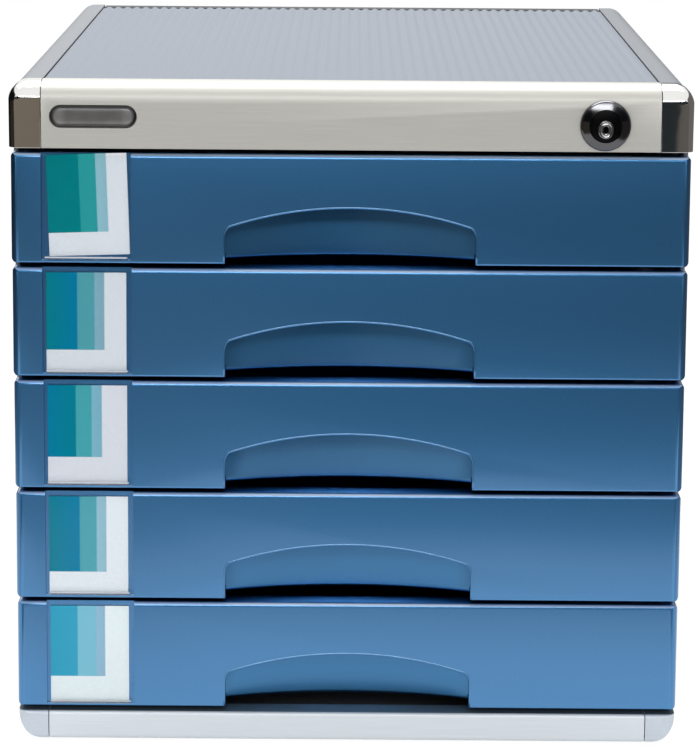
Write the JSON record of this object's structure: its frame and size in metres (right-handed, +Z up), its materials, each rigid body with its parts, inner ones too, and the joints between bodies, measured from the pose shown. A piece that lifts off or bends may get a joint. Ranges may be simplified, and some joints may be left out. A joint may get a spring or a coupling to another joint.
{
  "type": "desktop filing cabinet",
  "caption": "Desktop filing cabinet: blue leaning drawers with arched pulls and label windows in a silver ribbed-top case, barred by one front lock.",
  "frame": {"origin": "middle of the bounding box's footprint, on the surface that the feet stand on", "axes": "+X to the cabinet's right seen from the front, +Y to its back, +Z up"},
  "size_m": [0.3, 0.3668, 0.3015],
  "materials": {
    "silver_panels": "fine speckled satin anodising",
    "top_sheet": "satin, ribbed front to back",
    "satin_rail": "satin anodised",
    "pale_rail": "satin silver",
    "chrome_trim": "polished plating",
    "badge": "brushed dark grey",
    "lock_face": "gloss black",
    "inner_steel": "zinc plated",
    "grey_plastic": "moulded, fine texture",
    "dark_plastic": "moulded, fine texture",
    "foot_rubber": "matte",
    "blue_plastic": "satin metallic blue",
    "label_window": "clear moulded plastic",
    "label_card": "printed card with plain teal stripes"
  },
  "bodies": {
    "carcass": {"side_panel_left": "silver_panels", "side_panel_right": "silver_panels", "top_panel": "top_sheet", "bottom_panel": "inner_steel", "top_front_rail": "satin_rail", "badge_plate": "badge", "base_front_rail": "pale_rail", "top_corner_cap_left": "chrome_trim", "base_corner_cap_left": "pale_rail", "top_corner_cap_right": "chrome_trim", "base_corner_cap_right": "pale_rail", "back_screw_lower_left": "inner_steel", "back_screw_upper_left": "inner_steel", "back_screw_lower_right": "inner_steel", "back_screw_upper_right": "inner_steel", "rear_frame": "dark_plastic", "back_panel": "silver_panels", "foot_front_left": "foot_rubber", "foot_rear_left": "foot_rubber", "foot_front_right": "foot_rubber", "foot_rear_right": "foot_rubber", "runner_liner_left": "grey_plastic", "runner_liner_right": "grey_plastic", "lock_housing": "chrome_trim", "lock_nut": "inner_steel", "lock_bar_guide_1": "grey_plastic", "lock_bar_guide_2": "grey_plastic"},
    "lock_plug": {"lock_plug": "lock_face", "lock_cam": "inner_steel"},
    "lock_bar": {"lock_bar": "inner_steel", "lock_hook_1": "inner_steel", "lock_hook_2": "inner_steel", "lock_hook_3": "inner_steel", "lock_hook_4": "inner_steel", "lock_hook_5": "inner_steel"},
    "drawer_1": {"drawer_1_tray": "blue_plastic", "drawer_1_catch": "grey_plastic", "drawer_1_front": "blue_plastic", "drawer_1_label_window": "label_window", "drawer_1_label_card": "label_card"},
    "drawer_2": {"drawer_2_tray": "blue_plastic", "drawer_2_catch": "grey_plastic", "drawer_2_front": "blue_plastic", "drawer_2_label_window": "label_window", "drawer_2_label_card": "label_card"},
    "drawer_3": {"drawer_3_tray": "blue_plastic", "drawer_3_catch": "grey_plastic", "drawer_3_front": "blue_plastic", "drawer_3_label_window": "label_window", "drawer_3_label_card": "label_card"},
    "drawer_4": {"drawer_4_tray": "blue_plastic", "drawer_4_catch": "grey_plastic", "drawer_4_front": "blue_plastic", "drawer_4_label_window": "label_window", "drawer_4_label_card": "label_card"},
    "drawer_5": {"drawer_5_tray": "blue_plastic", "drawer_5_catch": "grey_plastic", "drawer_5_front": "blue_plastic", "drawer_5_label_window": "label_window", "drawer_5_label_card": "label_card"}
  },
  "joints": [
    {"name": "drawer_1_slide", "type": "slide", "parent": "carcass", "child": "drawer_1", "axis": [0, -1, 0], "range_m": [0, 0.24]},
    {"name": "drawer_2_slide", "type": "slide", "parent": "carcass", "child": "drawer_2", "axis": [0, -1, 0], "range_m": [0, 0.24]},
    {"name": "drawer_3_slide", "type": "slide", "parent": "carcass", "child": "drawer_3", "axis": [0, -1, 0], "range_m": [0, 0.24]},
    {"name": "drawer_4_slide", "type": "slide", "parent": "carcass", "child": "drawer_4", "axis": [0, -1, 0], "range_m": [0, 0.24]},
    {"name": "drawer_5_slide", "type": "slide", "parent": "carcass", "child": "drawer_5", "axis": [0, -1, 0], "range_m": [0, 0.24]},
    {"name": "lock_bar_slide", "type": "slide", "parent": "carcass", "child": "lock_bar", "axis": [0, 0, 1], "range_m": [0, 0.004]},
    {"name": "lock_turn", "type": "hinge", "parent": "carcass", "child": "lock_plug", "pos_m": [0.11105, -0.18055, 0.28405], "axis": [0, 1, 0], "range_deg": [0, 90]}
  ],
  "couplings": [
    {"joint": "lock_turn", "follows": "lock_bar_slide", "rad_per_m": 392.69}
  ]
}
